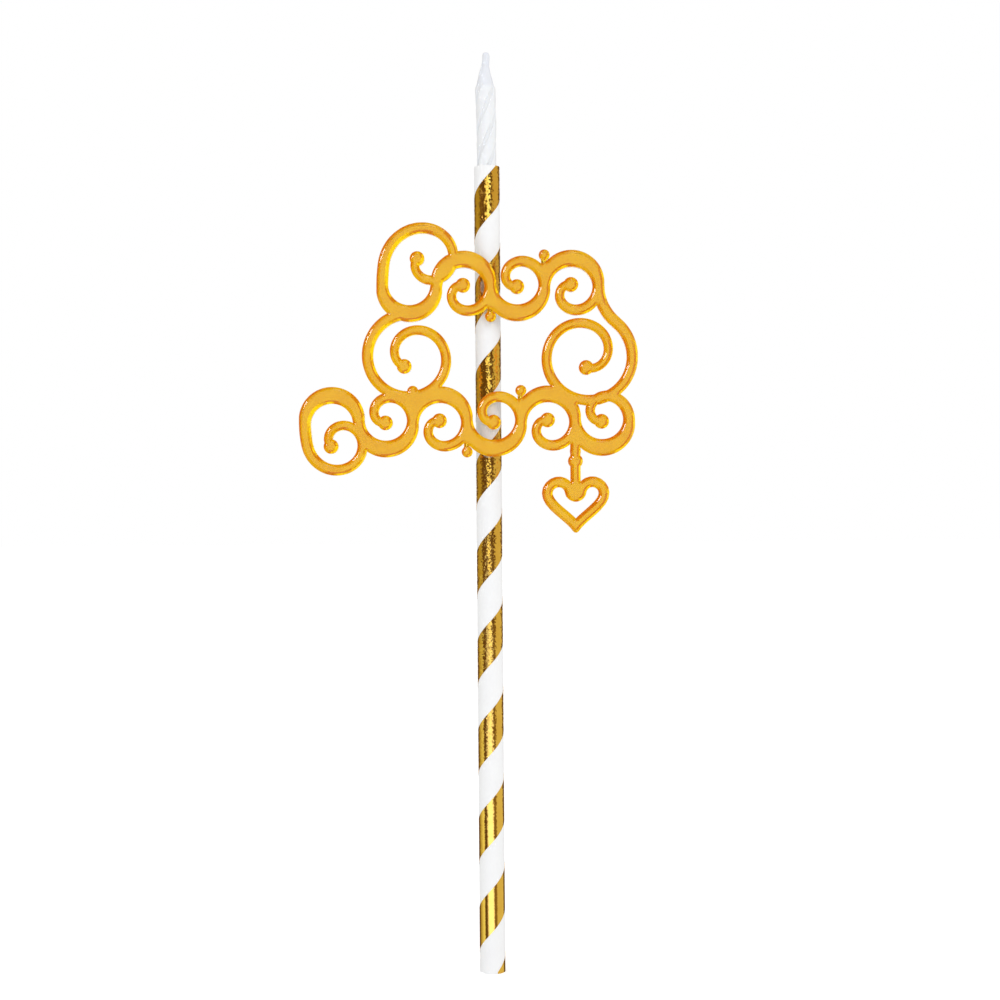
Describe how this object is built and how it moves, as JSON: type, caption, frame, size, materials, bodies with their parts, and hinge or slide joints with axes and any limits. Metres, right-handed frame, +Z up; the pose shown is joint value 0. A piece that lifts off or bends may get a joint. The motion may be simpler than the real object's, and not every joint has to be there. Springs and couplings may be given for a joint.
{
  "type": "cake topper candle",
  "caption": "Twisted white candle seated in a gold-striped paper straw, with an amber mirror-acrylic scrollwork cut-out glued across the front of the straw.",
  "frame": {"origin": "centre of the straw's foot, on the straw's axis", "axes": "+Z up along the straw towards the candle's tip, the cut-out faces -Y, +X to the right of someone looking at the cut-out"},
  "size_m": [0.0822, 0.0088, 0.2252],
  "materials": {
    "inner_paper": "uncoated white paper",
    "white_paper": "smooth white paper",
    "gold_foil": "bright gold-lacquered metallised film",
    "wax": "white paraffin wax with a soft sheen",
    "cotton": "braided cotton",
    "amber_acrylic": "clear amber acrylic with flame-polished edges",
    "mirror_film": "metallised film under grey lacquer",
    "clear_glue": "clear hot-melt adhesive"
  },
  "bodies": {
    "stick": {"straw_inner_ply": "inner_paper", "straw_middle_ply": "inner_paper", "straw_outer_ply": "white_paper", "gold_foil_stripe": "gold_foil", "topper_plate": "amber_acrylic", "mirror_backing": "mirror_film", "upper_glue_bead": "clear_glue", "lower_glue_bead": "clear_glue"},
    "candle": {"candle_body": "wax", "candle_wick": "cotton", "wick_tip_coat": "wax"}
  },
  "joints": [
    {"name": "candle_pull", "type": "slide", "parent": "stick", "child": "candle", "axis": [0, 0, 1], "range_m": [0, 0.034]}
  ]
}
